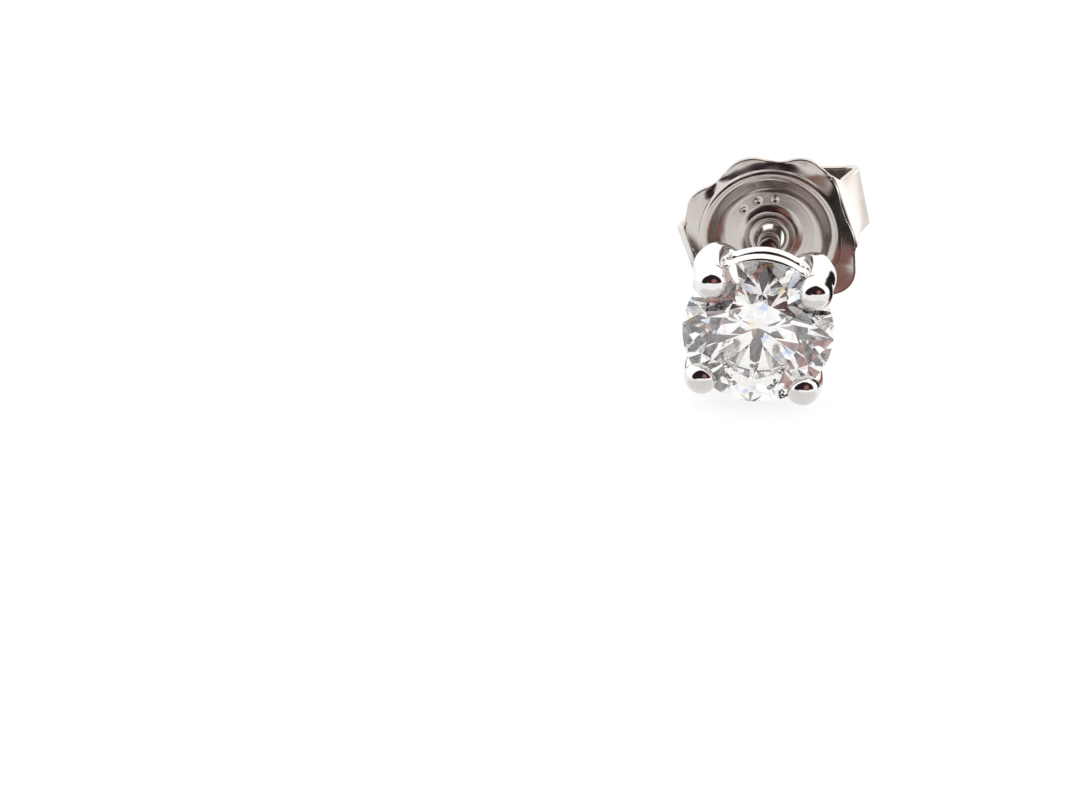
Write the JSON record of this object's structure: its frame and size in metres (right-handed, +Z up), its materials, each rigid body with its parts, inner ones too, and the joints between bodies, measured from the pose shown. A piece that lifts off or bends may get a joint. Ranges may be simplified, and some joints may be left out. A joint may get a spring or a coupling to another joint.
{
  "type": "stud earring",
  "caption": "Round brilliant solitaire ear stud in a wire prong setting, with a straight post and a sliding butterfly clutch.",
  "frame": {"origin": "middle of the bounding box on the surface that the earring lies on", "axes": "+Z up, the stone faces -Y and the post runs towards +Y, tipped up about 4 degrees because the earring lies on the stone's edge and on the clutch"},
  "size_m": [0.0064, 0.0134, 0.0053],
  "materials": {
    "white_gold": "polished, rhodium-bright white gold",
    "diamond": "polished colourless diamond, flat facets",
    "clutch_gold": "polished white gold sheet, slightly softer than the setting"
  },
  "bodies": {
    "root": {"setting": "white_gold", "stone": "diamond"},
    "clutch": {"butterfly_clutch": "clutch_gold"}
  },
  "joints": [
    {"name": "clutch_slide", "type": "slide", "parent": "root", "child": "clutch", "axis": [0, 0.9981, 0.0624], "range_m": [-0.0046, 0.0045]}
  ]
}
